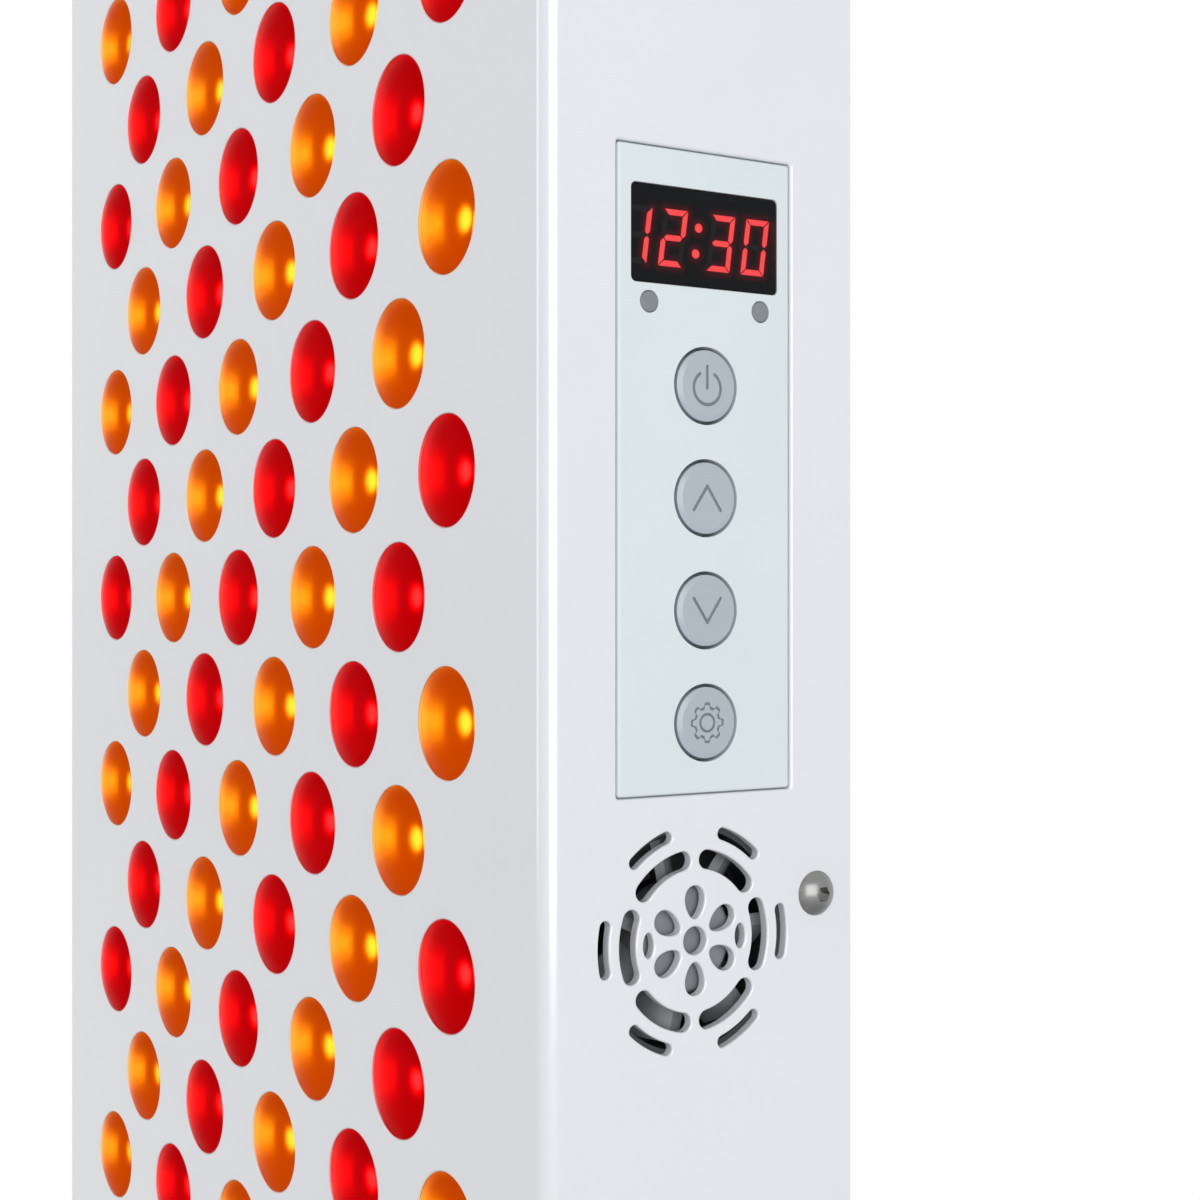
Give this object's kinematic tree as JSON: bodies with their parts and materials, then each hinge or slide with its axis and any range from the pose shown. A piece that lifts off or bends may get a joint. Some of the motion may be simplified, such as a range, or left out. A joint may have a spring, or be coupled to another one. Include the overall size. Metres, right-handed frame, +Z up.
{
  "type": "red light therapy panel",
  "caption": "Upright white sheet-metal light therapy panel with staggered red and amber lenses, side timer with push buttons, fan grilles and a rear mains inlet.",
  "frame": {"origin": "centre of the housing's base, at mid-width and mid-depth", "axes": "+X to the right seen from the front, where the controls are; the lenses face -Y; +Z up"},
  "size_m": [0.2308, 0.0708, 0.481],
  "materials": {
    "white_paint": "fine powder coat, satin",
    "bright_steel": "bright plated",
    "zinc_steel": "zinc plated",
    "red_lens": "clear tinted, glossy",
    "amber_lens": "clear tinted, glossy",
    "red_emitter": "moulded emitter",
    "amber_emitter": "moulded emitter",
    "board_white": "white solder mask",
    "sink_aluminium": "extruded",
    "driver_case": "pressed case, satin",
    "plate_plastic": "fine satin",
    "window_tint": "dark tinted window",
    "display_black": "moulded",
    "digit_red": "lit segments",
    "lamp_grey": "smoked light pipe",
    "board_green": "green solder mask",
    "switch_black": "moulded",
    "button_grey": "fine satin",
    "fan_dark": "moulded",
    "fan_grey": "moulded",
    "inlet_black": "moulded",
    "rocker_black": "moulded",
    "pin_brass": "nickel over brass",
    "block_ivory": "moulded",
    "mains_sleeve": "extruded sleeve",
    "driver_sleeve": "extruded sleeve",
    "lamp_sleeve": "extruded sleeve",
    "fan_sleeve": "extruded sleeve",
    "cable_grey": "extruded sleeve"
  },
  "bodies": {
    "panel": {"front_housing": "white_paint", "rear_cover": "white_paint", "cover_screws": "bright_steel", "rear_mount_nuts": "bright_steel", "hanging_nuts": "bright_steel", "cover_nuts": "zinc_steel", "lamp_board_studs": "zinc_steel", "lamp_board_spacers": "zinc_steel", "lamp_board_nuts": "zinc_steel", "control_board_screws": "zinc_steel", "wall_studs": "zinc_steel", "wall_nuts": "zinc_steel", "cover_studs": "zinc_steel", "cover_stud_nuts": "zinc_steel", "red_lenses": "red_lens", "amber_lenses": "amber_lens", "red_emitters": "red_emitter", "amber_emitters": "amber_emitter", "lamp_board": "board_white", "heat_sink": "sink_aluminium", "red_driver": "driver_case", "amber_driver": "driver_case", "control_plate": "plate_plastic", "display_window": "window_tint", "display_module": "display_black", "display_digits": "digit_red", "status_lamps": "lamp_grey", "control_board": "board_green", "button_switches": "switch_black", "intake_fan_frame": "fan_dark", "exhaust_fan_frame": "fan_dark", "inlet_body": "inlet_black", "switch_frame": "inlet_black", "inlet_pins": "pin_brass", "switch_terminals": "pin_brass", "terminal_block": "block_ivory", "mains_wires": "mains_sleeve", "driver_wires": "driver_sleeve", "lamp_wires": "lamp_sleeve", "fan_wires": "fan_sleeve", "control_cable": "cable_grey"},
    "power_key": {"power_button": "button_grey", "power_plunger": "switch_black"},
    "up_key": {"up_button": "button_grey", "up_plunger": "switch_black"},
    "down_key": {"down_button": "button_grey", "down_plunger": "switch_black"},
    "settings_key": {"settings_button": "button_grey", "settings_plunger": "switch_black"},
    "intake_rotor": {"intake_fan_rotor": "fan_grey"},
    "exhaust_rotor": {"exhaust_fan_rotor": "fan_grey"},
    "rocker": {"switch_rocker": "rocker_black"}
  },
  "joints": [
    {"name": "power_press", "type": "slide", "parent": "panel", "child": "power_key", "axis": [-1, 0, 0], "range_m": [0, 0.0006], "stiffness_N_per_m": 1500, "springref_m": -0.0005},
    {"name": "up_press", "type": "slide", "parent": "panel", "child": "up_key", "axis": [-1, 0, 0], "range_m": [0, 0.0006], "stiffness_N_per_m": 1500, "springref_m": -0.0005},
    {"name": "down_press", "type": "slide", "parent": "panel", "child": "down_key", "axis": [-1, 0, 0], "range_m": [0, 0.0006], "stiffness_N_per_m": 1500, "springref_m": -0.0005},
    {"name": "settings_press", "type": "slide", "parent": "panel", "child": "settings_key", "axis": [-1, 0, 0], "range_m": [0, 0.0006], "stiffness_N_per_m": 1500, "springref_m": -0.0005},
    {"name": "intake_spin", "type": "hinge", "parent": "panel", "child": "intake_rotor", "pos_m": [0.1065, -0.0021, 0.2369], "axis": [1, 0, 0], "continuous": true},
    {"name": "exhaust_spin", "type": "hinge", "parent": "panel", "child": "exhaust_rotor", "pos_m": [-0.1065, -0.0021, 0.2369], "axis": [1, 0, 0], "continuous": true},
    {"name": "rocker_tilt", "type": "hinge", "parent": "panel", "child": "rocker", "pos_m": [-0.008, 0.0313, 0.045], "axis": [0, 0, 1], "range_deg": [-14, 0]}
  ]
}
